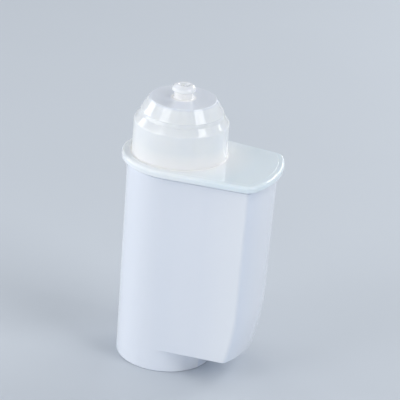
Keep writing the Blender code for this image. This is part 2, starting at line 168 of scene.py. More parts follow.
# Steps of the curves: end wall, corner, side and round back of half an outline
SHELL_STEPS = (10, 8, 24, 54)
GRAIN_STEPS = (24, 5, 56, 54)
TUCK_STEPS = 24
FILLET_STEPS = 5
BROKEN_EDGE_STEPS = 3
RIM_STEPS = 10
KNOB_STEPS = 16
TUBE_SIDES = 96
SECTION_SIDES = 24
RING_PLACE = "ring_place"
MERGE = 1e-6
BED_MERGE = BED_STEP / 4
ARC_SHARE = 0.42                        # an arc takes no more of the straight beside it
HOLD = 0.00008                          # from an arc's end to a point that keeps the straight flat
HOLD_SHARE = 0.48                       # and that point lies no further along the straight
SMOOTH_ANGLE = math.radians(35)

# Places that follow from the sizes
RIM_LOW = COVER_LOW.z + SKIRT_DEPTH
PLATE_TOP = RIM_LOW + RIM_THICKNESS
TUCK_HEIGHT = FIN_FLOOR_HEIGHT + FIN_TUCK_RISE
FIN_INNER_FLOOR = FIN_FLOOR_HEIGHT + HOUSING_WALL
BASE_UNDERSIDE = FOOT_DEPTH
BASE_FLOOR = BASE_UNDERSIDE + BASE_THICKNESS
SOCKET_TOP = BASE_UNDERSIDE + SOCKET_DEPTH
COLLAR_TOP = SOCKET_TOP + SOCKET_ROOF
GROOVE_LOW = SEAL_LOW.z - CLEARANCE
GROOVE_HIGH = SEAL_HIGH.z + CLEARANCE
GROOVE_RADIUS = SEAL_RADIUS + CLEARANCE
COLLAR_RADIUS = GROOVE_RADIUS + COLLAR_WALL
INNER_FIT = -HOUSING_WALL - CLEARANCE   # from the housing's outside to what fits inside its wall
SKIRT_OUTSIDE = INNER_FIT
SKIRT_INSIDE = SKIRT_OUTSIDE - SKIRT_WALL
RISER_HOLE = RISER_RADIUS + CLEARANCE
COLLAR_HOLE = COLLAR_RADIUS + CLEARANCE
DIMPLE_FLOOR = KNOB_TOP - DIMPLE_DEPTH
GATE_TOP = DIMPLE_FLOOR + GATE_HEIGHT
KNOB_WIDEST = KNOB_TOP - KNOB_CROWN
NECK_TOP = KNOB_WIDEST - KNOB_UNDERSIDE
DOME_TOP = NECK_TOP - NECK_HEIGHT


def body_radius(z):
    """Outer radius of the cylinder at a height."""
    return TOP_RADIUS - (TOP_HEIGHT - z) * math.tan(BODY_DRAFT)


def fin_reach(z):
    """Distance from the cylinder's axis to the end wall, which curves in near its foot."""
    reach = TOP_REACH - (TOP_HEIGHT - z) * math.tan(FIN_END_DRAFT)
    below = max(TUCK_HEIGHT - z, 0.0)
    return reach - FIN_TUCK_RADIUS + math.sqrt(FIN_TUCK_RADIUS ** 2 - below ** 2)


RIM_OVERHANG = COVER_HIGH.x - AXIS_X - fin_reach(RIM_LOW)
CHAMBER_RADIUS = body_radius(RIM_LOW) + SKIRT_INSIDE
DOME_RADIUS = CHAMBER_RADIUS + COVER_WALL
FOOT_INSIDE = body_radius(0.0) - FOOT_WIDTH


def spaced(first, last, count):
    """Evenly spaced values from the first to the last."""
    return [first + (last - first) * step / count for step in range(count + 1)]


def quarter_turn(steps):
    """Angles from 0 to 90 degrees."""
    return spaced(0.0, math.pi / 2, steps)


def corner_centre(radius, reach, end_radius, corner_radius):
    """Centre of the small arc that joins the straight side to the end wall."""
    normal = (math.sin(FIN_SIDE_TAPER), math.cos(FIN_SIDE_TAPER))
    along = (math.cos(FIN_SIDE_TAPER), -math.sin(FIN_SIDE_TAPER))
    end_centre = reach - end_radius
    start_x = (radius - corner_radius) * normal[0] - end_centre
    start_y = (radius - corner_radius) * normal[1]
    lead = start_x * along[0] + start_y * along[1]
    spare = (end_radius - corner_radius) ** 2 - start_x ** 2 - start_y ** 2
    travel = math.sqrt(lead ** 2 + spare) - lead
    return end_centre + start_x + travel * along[0], start_y + travel * along[1]


def outline(radius, reach, end_radius, corner_radius, steps):
    """The body seen from above: bulged end wall, small corners, tapering sides and round back."""
    end_steps, corner_steps, side_steps, back_steps = steps
    centre_x, centre_y = corner_centre(radius, reach, end_radius, corner_radius)
    end_centre = reach - end_radius
    end_angle = math.atan2(centre_y, centre_x - end_centre)
    side_angle = math.pi / 2 - FIN_SIDE_TAPER
    half = []
    for angle in spaced(0.0, end_angle, end_steps):
        half.append((end_centre + end_radius * math.cos(angle), end_radius * math.sin(angle)))
    for angle in spaced(end_angle, side_angle, corner_steps)[1:]:
        half.append((centre_x + corner_radius * math.cos(angle),
                     centre_y + corner_radius * math.sin(angle)))
    first = math.atan2(half[-1][1], half[-1][0])
    for angle in spaced(first, side_angle, side_steps)[1:]:
        distance = radius / math.cos(angle - side_angle)
        half.append((distance * math.cos(angle), distance * math.sin(angle)))
    for angle in spaced(side_angle, math.pi, back_steps)[1:]:
        half.append((radius * math.cos(angle), radius * math.sin(angle)))
    return half + [(x, -y) for x, y in reversed(half[1:-1])]


def fin_ring(z, offset=0.0, level=None, steps=SHELL_STEPS):
    """Ring round the body as it is at height z, moved out by the offset and laid at a level."""
    corner = max(FIN_CORNER_RADIUS + offset, SMALLEST_CORNER)
    points = outline(body_radius(z) + offset, fin_reach(z) + offset, FIN_END_RADIUS + offset,
                     corner, steps)
    height = z if level is None else level
    return [(AXIS_X + x, y, height) for x, y in points]


def ring_angles(steps):
    """Polar angles of an outline's points about the cylinder's axis."""
    return [math.atan2(y, x - AXIS_X) for x, y, z in fin_ring(RIM_LOW, steps=steps)]


SHELL_ANGLES = ring_angles(SHELL_STEPS)
GRAIN_ANGLES = ring_angles(GRAIN_STEPS)
TUBE_ANGLES = [2 * math.pi * side / TUBE_SIDES for side in range(TUBE_SIDES)]


def round_point(radius, angle, z):
    """Point at a radius and an angle about the cylinder's axis."""
    return AXIS_X + radius * math.cos(angle), radius * math.sin(angle), z


def round_ring(radius, z, angles=SHELL_ANGLES):
    """Round ring about the cylinder's axis."""
    return [round_point(radius, angle, z) for angle in angles]


def plate_ring(offset, z):
    """Ring of the rim plate: the body's outline under the plate, moved out and laid at a height."""
    return fin_ring(RIM_LOW, offset, z)


def rim_ring(offset, z):
    """Ring of the rim's edge, whose corners are rounder than the body's."""
    corner = RIM_CORNER_RADIUS + offset - RIM_OVERHANG
    points = outline(body_radius(RIM_LOW) + offset, fin_reach(RIM_LOW) + offset,
                     FIN_END_RADIUS + offset, corner, SHELL_STEPS)
    return [(AXIS_X + x, y, z) for x, y in points]


def pole(z):
    """A ring drawn together to one point on the cylinder's axis."""
    return [(AXIS_X, 0.0, z)]


def corner_arc(before, corner, after, radius, steps):
    """The arc that rounds a profile's corner, with one more point on the straight at each end."""
    here = Vector(corner)
    back = Vector(before) - here
    ahead = Vector(after) - here
    opening = back.angle(ahead)
    room = min(back.length, ahead.length)
    reach = min(radius / math.tan(opening / 2), ARC_SHARE * room)
    hold = min(reach + HOLD, HOLD_SHARE * room)
    radius = reach * math.tan(opening / 2)
    back.normalize()
    ahead.normalize()
    centre = here + (back + ahead).normalized() * (radius / math.sin(opening / 2))
    start = here + back * reach - centre
    end = here + ahead * reach - centre
    sweep = start.angle(end)
    points = [tuple(here + back * hold)]
    for step in range(steps + 1):
        share = step / steps
        spoke = start * math.sin((1 - share) * sweep) + end * math.sin(share * sweep)
        points.append(tuple(centre + spoke / math.sin(sweep)))
    return points + [tuple(here + ahead * hold)]


def rounded(corners, closed=False, steps=FILLET_STEPS):
    """Profile of (r, z) points from corners (r, z, fillet radius); an open one keeps its ends."""
    count = len(corners)
    points = []
    for index, (r, z, radius) in enumerate(corners):
        at_end = not closed and index in (0, count - 1)
        if at_end or radius == 0.0:
            points.append((r, z))
        else:
            before = corners[index - 1][:2]
            after = corners[(index + 1) % count][:2]
            points += corner_arc(before, (r, z), after, radius, steps)
    return points


def tube_profile(inner, outer_low, outer_high, low, high, edge, steps=FILLET_STEPS):
    """Closed profile of a tube or a flat ring, which may widen upwards, with rounded edges."""
    return rounded([
        (inner, low, edge),
        (outer_low, low, edge),
        (outer_high, high, edge),
        (inner, high, edge),
    ], closed=True, steps=steps)


def plate_rings(low, high, edge, edge_steps, ring_steps, angles):
    """Closed row of rings of a plate that fills the housing round the riser, with rounded edges."""
    side = rounded([
        (0.0, low, 0.0),
        (1.0, low, edge),
        (1.0, high, edge),
        (0.0, high, 0.0),
    ], steps=edge_steps)[1:-1]
    mouth = rounded([
        (RISER_HOLE + 1.0, high, 0.0),
        (RISER_HOLE, high, edge),
        (RISER_HOLE, low, edge),
        (RISER_HOLE + 1.0, low, 0.0),
    ], steps=edge_steps)[1:-1]
    rings = [fin_ring(z, INNER_FIT + r - 1.0, steps=ring_steps) for r, z in side]
    return rings + [round_ring(r, z, angles) for r, z in mouth]


def shade(mesh):
    """Smooth faces, with sharp edges where faces meet at more than the angle."""
    mesh.shade_smooth()
    mesh.set_sharp_from_angle(angle=SMOOTH_ANGLE)


def mesh_piece(name, bm, look=None):
    """Puts a finished bmesh into the scene as one smooth-shaded piece."""
    bmesh.ops.recalc_face_normals(bm, faces=bm.faces)
    mesh = bpy.data.meshes.new(name)
    bm.to_mesh(mesh)
    bm.free()
    shade(mesh)
    piece = bpy.data.objects.new(name, mesh)
    bpy.context.scene.collection.objects.link(piece)
    if look:
        mesh.materials.append(look)
    return piece


def skin(rings, closed, merge):
    """A bmesh that skins a row of rings. A closed row joins its ends; an open one ends in poles.

    Each vertex keeps its place along half a ring, counted from the fin's end. Vertices nearer than
    the merge distance become one.
    """
    bm = bmesh.new()
    place = bm.verts.layers.float.new(RING_PLACE)
    layers = [[bm.verts.new(point) for point in ring] for ring in rings]
    for layer in layers:
        for index, vertex in enumerate(layer):
            vertex[place] = min(index, len(layer) - index)
    following = layers[1:] + layers[:1] if closed else layers[1:]
    for lower, upper in zip(layers, following):
        count = max(len(lower), len(upper))
        for index in range(count):
            after = (index + 1) % count
            corners = [lower[index % len(lower)], lower[after % len(lower)]]
            corners += [upper[after % len(upper)], upper[index % len(upper)]]
            bm.faces.new(list(dict.fromkeys(corners)))
    bmesh.ops.remove_doubles(bm, verts=bm.verts, dist=merge)
    bmesh.ops.dissolve_degenerate(bm, edges=bm.edges, dist=MERGE)
    return bm


def loft(name, rings, look, closed=False, merge=MERGE):
    """One piece skinned over rings."""
    return mesh_piece(name, skin(rings, closed, merge), look)


def stands_for(piece, node):
    """The piece takes the place of a CAD node, which is hidden, and goes on its body."""
    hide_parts(node)
    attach(piece, BODY)
    return piece


def slot_prism(bm, centre_x, centre_y, length, width, low, high, turn=0.0):
    """Adds one cutter for a slot with rounded corners and broken edges at both faces of a plate."""
    rings = []
    for level, spread in ((low - SLOT_FLARE, 2 * SLOT_FLARE), (low + SLOT_FLARE, 0.0),
                          (high - SLOT_FLARE, 0.0), (high + SLOT_FLARE, 2 * SLOT_FLARE)):
        ring = []
        for quarter, (side_x, side_y) in enumerate(((1, 1), (-1, 1), (-1, -1), (1, -1))):
            for step in range(BROKEN_EDGE_STEPS + 1):
                angle = math.pi / 2 * (quarter + step / BROKEN_EDGE_STEPS)
                x = side_x * (length / 2 - SLOT_CORNER) + (SLOT_CORNER + spread) * math.cos(angle)
                y = side_y * (width / 2 - SLOT_CORNER) + (SLOT_CORNER + spread) * math.sin(angle)
                turned_x = centre_x + x * math.cos(turn) - y * math.sin(turn)
                turned_y = centre_y + x * math.sin(turn) + y * math.cos(turn)
                ring.append(bm.verts.new((turned_x, turned_y, level)))
        rings.append(ring)
    count = len(rings[0])
    for lower, upper in zip(rings, rings[1:]):
        for index in range(count):
            after = (index + 1) % count
            bm.faces.new((lower[index], lower[after], upper[after], upper[index]))
    bm.faces.new(list(reversed(rings[0])))
    bm.faces.new(rings[-1])


def radial_slots(width, count, low, high):
    """Cutter for a star of slots between the collar and the foot."""
    bm = bmesh.new()
    inner = COLLAR_RADIUS + BASE_SLOT_MARGIN
    outer = FOOT_INSIDE - BASE_SLOT_MARGIN
    middle = (inner + outer) / 2
    for index in range(count):
        angle = 2 * math.pi * (index + 0.5) / count
        x, y, level = round_point(middle, angle, low)
        slot_prism(bm, x, y, outer - inner, width, level, high, angle)
    return mesh_piece("cutter", bm)


def cut(piece, cutter):
    """Cuts the piece and removes the cutter."""
    boolean = piece.modifiers.new("slots", "BOOLEAN")
    boolean.operation = "DIFFERENCE"
    boolean.solver = "EXACT"
    boolean.object = cutter
    depsgraph = bpy.context.evaluated_depsgraph_get()
    mesh = bpy.data.meshes.new_from_object(piece.evaluated_get(depsgraph))
    piece.modifiers.clear()
    piece.data = mesh
    shade(mesh)
    bpy.data.objects.remove(cutter, do_unlink=True)


def fin_share(z):
    """For each point of a ring, how fully the fin stands out from the cylinder, from 0 to 1."""
    shares = []
    for x, y, level in fin_ring(z):
        proud = math.hypot(x - AXIS_X, y) - body_radius(z)
        shares.append(min(max(proud / (2 * FIN_EDGE_RADIUS), 0.0), 1.0))
    return shares


def fin_floor_rings():
    """Rings from the cylinder's wall over the fin's flat floor and round its lower edge."""
    shares = fin_share(FIN_FLOOR_HEIGHT)
    rings = []
    for turn in quarter_turn(FILLET_STEPS):
        z = FIN_FLOOR_HEIGHT - FIN_FLOOR_FILLET * (1.0 - math.sin(turn))
        spread = FIN_FLOOR_FILLET * (1.0 - math.cos(turn))
        rings.append([round_point(body_radius(z) + spread * share, angle, z)
                      for angle, share in zip(SHELL_ANGLES, shares)])
    for turn in quarter_turn(FILLET_STEPS):
        z = FIN_FLOOR_HEIGHT + FIN_EDGE_RADIUS * (1.0 - math.cos(turn))
        wall = fin_ring(z)
        inset = fin_ring(z, -FIN_EDGE_RADIUS * (1.0 - math.sin(turn)))
        rings.append([tuple(Vector(a).lerp(Vector(b), share))
                      for a, b, share in zip(wall, inset, shares)])
    return rings


def make_housing(look):
    """The white outer shell with its base, outlet socket and spigot, as one closed row of rings."""
    bore = SPIGOT_RADIUS - SPIGOT_WALL
    spigot_top = COLLAR_TOP + SPIGOT_HEIGHT
    seam_low = RIM_LOW - SEAM_DROP
    seam_high = seam_low + SEAM_WIDTH
    foot = rounded([
        (SOCKET_RADIUS, BASE_UNDERSIDE + MOUTH_CHAMFER, 0.0),
        (SOCKET_RADIUS + MOUTH_CHAMFER, BASE_UNDERSIDE, 0.0),
        (FOOT_INSIDE, BASE_UNDERSIDE, MOULD_RADIUS),
        (FOOT_INSIDE, 0.0, MOULD_RADIUS),
        (body_radius(0.0), 0.0, FOOT_EDGE_RADIUS),
        (body_radius(FIN_FLOOR_HEIGHT), FIN_FLOOR_HEIGHT, 0.0),
    ])
    rings = [round_ring(r, z) for r, z in foot[:-1]]
    rings += fin_floor_rings()
    rings += [fin_ring(z) for z in spaced(FIN_FLOOR_HEIGHT, TUCK_HEIGHT, TUCK_STEPS)[1:]]
    seam = rounded([
        (0.0, TUCK_HEIGHT, 0.0),
        (0.0, seam_low, SEAM_EDGE_RADIUS),
        (-SEAM_DEPTH, seam_low, SEAM_EDGE_RADIUS),
        (-SEAM_DEPTH, seam_high, SEAM_EDGE_RADIUS),
        (0.0, seam_high, SEAM_EDGE_RADIUS),
        (0.0, TOP_HEIGHT, 0.0),
    ], steps=SEAM_STEPS)
    rings += [fin_ring(z, offset) for offset, z in seam[1:-1]]
    rings += [fin_ring(TOP_HEIGHT), fin_ring(TOP_HEIGHT, -HOUSING_WALL)]
    rings += [fin_ring(z, -HOUSING_WALL)
              for z in reversed(spaced(FIN_INNER_FLOOR, TUCK_HEIGHT, TUCK_STEPS))]
    rings.append(round_ring(body_radius(FIN_INNER_FLOOR) - HOUSING_WALL, FIN_INNER_FLOOR))
    socket = [
        (body_radius(BASE_FLOOR) - HOUSING_WALL, BASE_FLOOR),
        (COLLAR_RADIUS, BASE_FLOOR),
        (COLLAR_RADIUS, COLLAR_TOP),
        (SPIGOT_RADIUS, COLLAR_TOP),
        (SPIGOT_RADIUS, spigot_top),
        (bore, spigot_top),
        (bore, SOCKET_TOP),
        (SOCKET_RADIUS, SOCKET_TOP),
        (SOCKET_RADIUS, GROOVE_HIGH),
        (GROOVE_RADIUS, GROOVE_HIGH),
        (GROOVE_RADIUS, GROOVE_LOW),
        (SOCKET_RADIUS, GROOVE_LOW),
    ]
    rings += [round_ring(r, z) for r, z in socket]
    housing = loft("housing_shell", rings, look, closed=True)
    cut(housing, radial_slots(BASE_SLOT_WIDTH, BASE_SLOT_COUNT, BASE_UNDERSIDE, BASE_FLOOR))
    return stands_for(housing, "housing")


def dome_corners(sink):
    """Corners of the dome with their radii, from its wall's foot to the edge of its flat top.

    The ledge lies behind the cone's lower edge by the sink, and without one those two corners meet.
    """
    wall_end = DOME_RADIUS - DOME_WALL_RISE * math.tan(DOME_DRAFT)
    shoulder_end = wall_end - SHOULDER_INSET
    ledge_end = shoulder_end - LEDGE_INSET
    wall_top = PLATE_TOP + DOME_WALL_RISE
    shoulder_top = wall_top + SHOULDER_RISE
    return [
        (DOME_RADIUS, PLATE_TOP, DOME_FOOT_FILLET),
        (wall_end, wall_top, WALL_TOP_RADIUS),
        (shoulder_end - sink, shoulder_top, CREASE_RADIUS / 2),
        (ledge_end - sink, shoulder_top + LEDGE_RISE - sink, CREASE_RADIUS / 2),
        (ledge_end, shoulder_top + LEDGE_RISE, CREASE_RADIUS),
        (ledge_end - CONE_INSET, DOME_TOP, TOP_EDGE_RADIUS),
    ]


def knob_profile():
    """The knob from the gate mark in its dimple, over its crown and under its head to its neck."""
    crown = NECK_RADIUS + KNOB_OVERHANG - DIMPLE_RADIUS
    points = rounded([
        (0.0, GATE_TOP, 0.0),
        (GATE_RADIUS, GATE_TOP, GATE_RADIUS / 3),
        (GATE_RADIUS * GATE_SPREAD, DIMPLE_FLOOR, GATE_RADIUS / 3),
        (DIMPLE_FLOOR_RADIUS, DIMPLE_FLOOR, DIMPLE_DEPTH),
        (DIMPLE_RADIUS, KNOB_TOP, MOULD_RADIUS),
        (DIMPLE_RADIUS + crown / 3, KNOB_TOP, 0.0),
    ])[:-1]
    for angle in quarter_turn(KNOB_STEPS)[1:]:
        points.append((DIMPLE_RADIUS + crown * math.sin(angle),
                       KNOB_WIDEST + KNOB_CROWN * math.cos(angle)))
    for angle in quarter_turn(KNOB_STEPS)[1:]:
        points.append((NECK_RADIUS + KNOB_OVERHANG * math.cos(angle),
                       KNOB_WIDEST - KNOB_UNDERSIDE * math.sin(angle)))
    return points


def inside_profile(profile, wall):
    """The hollow's corners, one wall thickness in from a profile that ends in a flat top."""
    ends = profile + [(0.0, profile[-1][1])]
    normals = []
    for (r0, z0), (r1, z1) in zip(ends, ends[1:]):
        length = math.hypot(r1 - r0, z1 - z0)
        normals.append(((z1 - z0) / length, (r0 - r1) / length))
    inside = []
    for (r, z), before, after in zip(profile[1:], normals, normals[1:]):
        spread = 1.0 + before[0] * after[0] + before[1] * after[1]
        inside.append((r - wall * (before[0] + after[0]) / spread,
                       z - wall * (before[1] + after[1]) / spread))
    return inside


def make_cover(look):
    """The glossy lid: rim plate, stepped dome and knob, hollow from below."""
    profile = rounded([
        (NECK_RADIUS, NECK_TOP, 0.0),
        (NECK_RADIUS, DOME_TOP, NECK_FILLET),
        *reversed(dome_corners(LEDGE_SINK)),
        (DOME_RADIUS + 2 * DOME_FOOT_FILLET, PLATE_TOP, 0.0),
    ])
    rings = [pole(GATE_TOP)]
    rings += [round_ring(r, z) for r, z in knob_profile()[1:] + profile[1:-1]]
    rim = rounded([
        (RIM_OVERHANG - 2 * RIM_MARGIN, PLATE_TOP, 0.0),
        (RIM_OVERHANG - RIM_MARGIN, PLATE_TOP, RIM_STEP),
        (RIM_OVERHANG - RIM_MARGIN + 2 * RIM_STEP, PLATE_TOP - RIM_STEP, RIM_STEP),
        (RIM_OVERHANG, PLATE_TOP - RIM_STEP, RIM_EDGE_RADIUS),
        (RIM_OVERHANG, RIM_LOW, RIM_LOWER_RADIUS),
        (CLEARANCE, RIM_LOW, 0.0),
    ], steps=RIM_STEPS)
    rings += [rim_ring(offset, z) for offset, z in rim[1:-1]]
    rings.append(plate_ring(*rim[-1]))
    groove_roof = RIM_LOW + WELD_GROOVE_DEPTH
    rings += [
        plate_ring(CLEARANCE, groove_roof),
        plate_ring(SKIRT_OUTSIDE, groove_roof),
        fin_ring(COVER_LOW.z, SKIRT_OUTSIDE),
        fin_ring(COVER_LOW.z, SKIRT_INSIDE),
        plate_ring(SKIRT_INSIDE, RIM_LOW),
        round_ring(CHAMBER_RADIUS, RIM_LOW),
    ]
    plain = dict.fromkeys((r, z) for r, z, radius in dome_corners(0.0))
    inside = inside_profile(list(plain), COVER_WALL)
    roof = inside[-1][1]
    hollow = rounded([
        (CHAMBER_RADIUS, RIM_LOW, 0.0),
        *((r, z, MOULD_RADIUS) for r, z in inside),
        (0.0, roof, 0.0),
    ])
    rings += [round_ring(r, z) for r, z in hollow[1:-1]]
    rings.append(pole(roof))
    return stands_for(loft("cover_shell", rings, look), "cover")


def make_inlet_sieve(look):
    """The fine slotted disc over the base's slots."""
    low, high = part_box("inlet_sieve")
    profile = tube_profile(COLLAR_HOLE, body_radius(low.z) + INNER_FIT,
                           body_radius(high.z) + INNER_FIT, low.z, high.z, MOULD_RADIUS / 2,
                           BROKEN_EDGE_STEPS)
    rings = [round_ring(r, z, TUBE_ANGLES) for r, z in profile]
    sieve = loft("inlet_sieve_disc", rings, look, closed=True)
    cut(sieve, radial_slots(SIEVE_SLOT_WIDTH, SIEVE_SLOT_COUNT, low.z, high.z))
    return stands_for(sieve, "inlet_sieve")


def slot_fits(x, y, height):
    """True where a slot centred there keeps its margin to the upper sieve's edge and its hole."""
    fit = INNER_FIT - UPPER_SLOT_MARGIN
    edge = outline(body_radius(height) + fit, fin_reach(height) + fit, FIN_END_RADIUS + fit,
                   SMALLEST_CORNER, SHELL_STEPS)
    corners = [(x + side_x * UPPER_SLOT_LENGTH / 2, y + side_y * UPPER_SLOT_WIDTH / 2)
               for side_x in (-1, 1) for side_y in (-1, 1)]
    for (x0, y0), (x1, y1) in zip(edge, edge[1:] + edge[:1]):
        if any((x1 - x0) * (cy - y0) - (y1 - y0) * (cx - x0) < 0 for cx, cy in corners):
            return False
    near_x = max(abs(x) - UPPER_SLOT_LENGTH / 2, 0.0)
    near_y = max(abs(y) - UPPER_SLOT_WIDTH / 2, 0.0)
    return math.hypot(near_x, near_y) > RISER_HOLE + UPPER_SLOT_MARGIN


def make_upper_sieve(look):
    """The slotted plate that holds the fleece and the granulate down."""
    low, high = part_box("upper_sieve")
    rings = plate_rings(low.z, high.z, MOULD_RADIUS / 2, BROKEN_EDGE_STEPS, SHELL_STEPS,
                        SHELL_ANGLES)
    sieve = loft("upper_sieve_plate", rings, look, closed=True)
    bm = bmesh.new()
    pitch = UPPER_SLOT_LENGTH + UPPER_SLOT_BRIDGE
    rows = int(TOP_RADIUS / UPPER_SLOT_STEP)
    columns = int(TOP_REACH / pitch) + 1
    for row in range(-rows, rows + 1):
        for column in range(-columns, columns + 1):
            x, y = column * pitch, row * UPPER_SLOT_STEP
            if slot_fits(x, y, low.z):
                slot_prism(bm, AXIS_X + x, y, UPPER_SLOT_LENGTH, UPPER_SLOT_WIDTH, low.z, high.z)
    cut(sieve, mesh_piece("cutter", bm))
    return stands_for(sieve, "upper_sieve")


def make_riser(look):
    """The central tube with its softly rounded ends."""
    profile = tube_profile(RISER_RADIUS - RISER_WALL, RISER_RADIUS, RISER_RADIUS,
                           RISER_LOW.z, RISER_HIGH.z, RISER_WALL / 3)
    rings = [round_ring(r, z, TUBE_ANGLES) for r, z in profile]
    return stands_for(loft("riser_pipe", rings, look, closed=True), "riser_tube")


def make_seal(look):
    """The soft ring in the socket's groove, with the thin seam that its mould leaves."""
    half = SEAL_SECTION / 2
    middle_radius = SEAL_RADIUS - half
    middle_height = (SEAL_LOW.z + SEAL_HIGH.z) / 2
    rings = []
    for side in range(SECTION_SIDES):
        angle = 2 * math.pi * side / SECTION_SIDES
        on_seam = side % (SECTION_SIDES // 2) == 0
        reach = half + (0.0 if on_seam else -SEAL_SEAM)
        rings.append(round_ring(middle_radius + reach * math.cos(angle),
                                middle_height + reach * math.sin(angle), TUBE_ANGLES))
    seal = loft("outlet_seal_ring", rings, look, closed=True)
    return stands_for(seal, "outlet_seal")


def subdivided(rings, step):
    """The same closed row of rings, with more between those that lie further apart than a step."""
    rows = [np.array(ring) for ring in rings]
    result = []
    for lower, upper in zip(rows, rows[1:] + rows[:1]):
        gap = np.linalg.norm(upper - lower, axis=1).max()
        count = max(int(math.ceil(gap / step)), 1)
        for part in range(count):
            result.append(lower + (upper - lower) * part / count)
    return result


def nearest_grain(points, step, seed):
    """Distance from each point to the nearest grain of a loosely packed heap."""
    rng = np.random.RandomState(seed)
    low = points.min(axis=0) - 2 * step
    cells = np.ceil((points.max(axis=0) - low) / step).astype(int) + 3
    jitter = rng.uniform(*GRAIN_JITTER, size=(*cells, 3))
    home = np.floor((points - low) / step).astype(int)
    best = np.full(len(points), np.inf)
    for dx in (-1, 0, 1):
        for dy in (-1, 0, 1):
            for dz in (-1, 0, 1):
                cell = home + np.array((dx, dy, dz))
                centre = low + (cell + jitter[cell[:, 0], cell[:, 1], cell[:, 2]]) * step
                best = np.minimum(best, np.linalg.norm(points - centre, axis=1))
    return best


def press_in(piece, depths_at):
    """Moves a piece's vertices inwards by the depths that a function gives for their places."""
    mesh = piece.data
    places = np.zeros(len(mesh.vertices) * 3)
    normals = np.zeros(len(mesh.vertices) * 3)
    mesh.vertices.foreach_get("co", places)
    mesh.vertices.foreach_get("normal", normals)
    places = places.reshape(-1, 3)
    places -= normals.reshape(-1, 3) * depths_at(places)[:, None]
    mesh.vertices.foreach_set("co", places.reshape(-1))
    mesh.update()
    mesh.shade_smooth()


def lump_depths(places):
    """How far the heap's surface lies below the tops of its lumps."""
    distance = nearest_grain(places, GRAIN_STEP, seed=4)
    cap = np.sqrt(1.0 - np.clip(distance / GRAIN_REACH, 0.0, 1.0) ** 2)
    return (1.0 - cap) * GRAIN_DEPTH


def make_bed(look):
    """The granulate: a heap of small beads and grains that fills the housing round the riser."""
    low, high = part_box("granulate_bed")
    fin_floor = FIN_INNER_FLOOR + CLEARANCE
    collar_step = COLLAR_TOP + CLEARANCE
    levels = spaced(fin_floor, TUCK_HEIGHT, TUCK_STEPS) + [high.z]
    foot = [(body_radius(z) + INNER_FIT, z) for z in (low.z, fin_floor)]
    bore = [
        (RISER_HOLE, high.z),
        (RISER_HOLE, collar_step),
        (COLLAR_HOLE, collar_step),
        (COLLAR_HOLE, low.z),
    ]
    rings = [round_ring(r, z, GRAIN_ANGLES) for r, z in foot]
    rings += [fin_ring(z, INNER_FIT, steps=GRAIN_STEPS) for z in levels]
    rings += [round_ring(r, z, GRAIN_ANGLES) for r, z in bore]
    bed = loft("granulate_heap", subdivided(rings, BED_STEP), look, closed=True, merge=BED_MERGE)
    press_in(bed, lump_depths)
    return stands_for(bed, "granulate_bed")


def fleece_nap(piece, seed):
    """Roughens a pad's surface as loose fibres do, always inwards."""
    def nap_depths(places):
        fine = nearest_grain(places, NAP_FINE, seed)
        broad = nearest_grain(places, NAP_BROAD, seed + 1)
        dip = fine / NAP_FINE + NAP_BROAD_SHARE * broad / NAP_BROAD
        return np.clip(dip, 0.0, NAP_LIMIT) / NAP_LIMIT * FLEECE_NAP

    press_in(piece, nap_depths)


def make_lower_fleece(look):
    """The ring of fleece between the inlet sieve and the granulate."""
    low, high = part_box("lower_fleece")
    outer = body_radius(low.z) + INNER_FIT
    profile = tube_profile(COLLAR_HOLE, outer, outer, low.z, high.z, FLEECE_EDGE_RADIUS)
    rings = [round_ring(r, z, GRAIN_ANGLES) for r, z in profile]
    pad = loft("lower_fleece_pad", subdivided(rings, FLEECE_STEP), look, closed=True)
    fleece_nap(pad, seed=11)
    return stands_for(pad, "lower_fleece")


def make_upper_fleece(look):
    """The fleece pad on top of the granulate."""
    low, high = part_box("upper_fleece")
    rings = plate_rings(low.z, high.z, FLEECE_EDGE_RADIUS, FILLET_STEPS, GRAIN_STEPS, GRAIN_ANGLES)
    pad = loft("upper_fleece_pad", subdivided(rings, FLEECE_STEP), look, closed=True)
    fleece_nap(pad, seed=17)
    return stands_for(pad, "upper_fleece")


# Tones of the looks, linear red, green and blue
MILKY_TONES = (0.85, 0.885, 0.915), (0.885, 0.91, 0.93)
# Painted shade on the dome's thin flat top, for the shaded hollow seen through it and weak light
# from above
FLAT_TOP_SHADE_TONE = (0.77, 0.805, 0.87)
# Painted light on the neck, for the glow of light scattered into it under the head
NECK_LIGHT_TONE = (0.995, 0.995, 0.995)
HEAD_TONE = (0.85, 0.87, 0.91)
# Painted light bounced up from the plate onto the foot of the dome's wall
FOOT_BOUNCE_LIGHT_TONE = (0.97, 0.985, 0.99)
# Painted reflection on the plate: the dome's tone near it, bluish surroundings further out
PLATE_REFLECTION_TONES = (0.87, 0.895, 0.91), (0.79, 0.865, 0.95)
HOUSING_TONES = (0.785, 0.825, 0.90), (0.805, 0.84, 0.91)
# Painted light on the side wall and painted shade on the end wall, next to the fin's corner
CORNER_SIDE_LIGHT_TONE = (0.85, 0.88, 0.935)
CORNER_END_SHADE_TONE = (0.765, 0.82, 0.92)
CORNER_SHARE = 0.85                     # how much of those two tones shows at the corner itself
SIDE_FADE_STEPS = 7                     # over how many of the outline's steps they fade out
END_FADE_STEPS = 6
INNER_TONES = (0.785, 0.80, 0.80), (0.81, 0.822, 0.815)
FLEECE_TONES = (0.66, 0.66, 0.62), (0.90, 0.90, 0.87)
FIBRE_SCALES = (3200.0, 340.0, 700.0), (340.0, 3200.0, 700.0), (1900.0, 1900.0, 420.0)
RESIN_TONES = (0.30, 0.16, 0.06), (0.62, 0.52, 0.38)
CARBON_TONES = (0.012, 0.012, 0.013), (0.05, 0.048, 0.045)
CARBON_LIMITS = (0.62, 0.64)            # a cell is carbon below this chance and resin above it
# Painted shade in the gaps between the beads
GAP_SHADE_TONE = (0.012, 0.010, 0.008)
RUBBER_TONES = (0.42, 0.44, 0.47), (0.45, 0.47, 0.50)
FLOOR_TONES = (0.585, 0.627, 0.68), (0.59085, 0.63327, 0.6868)


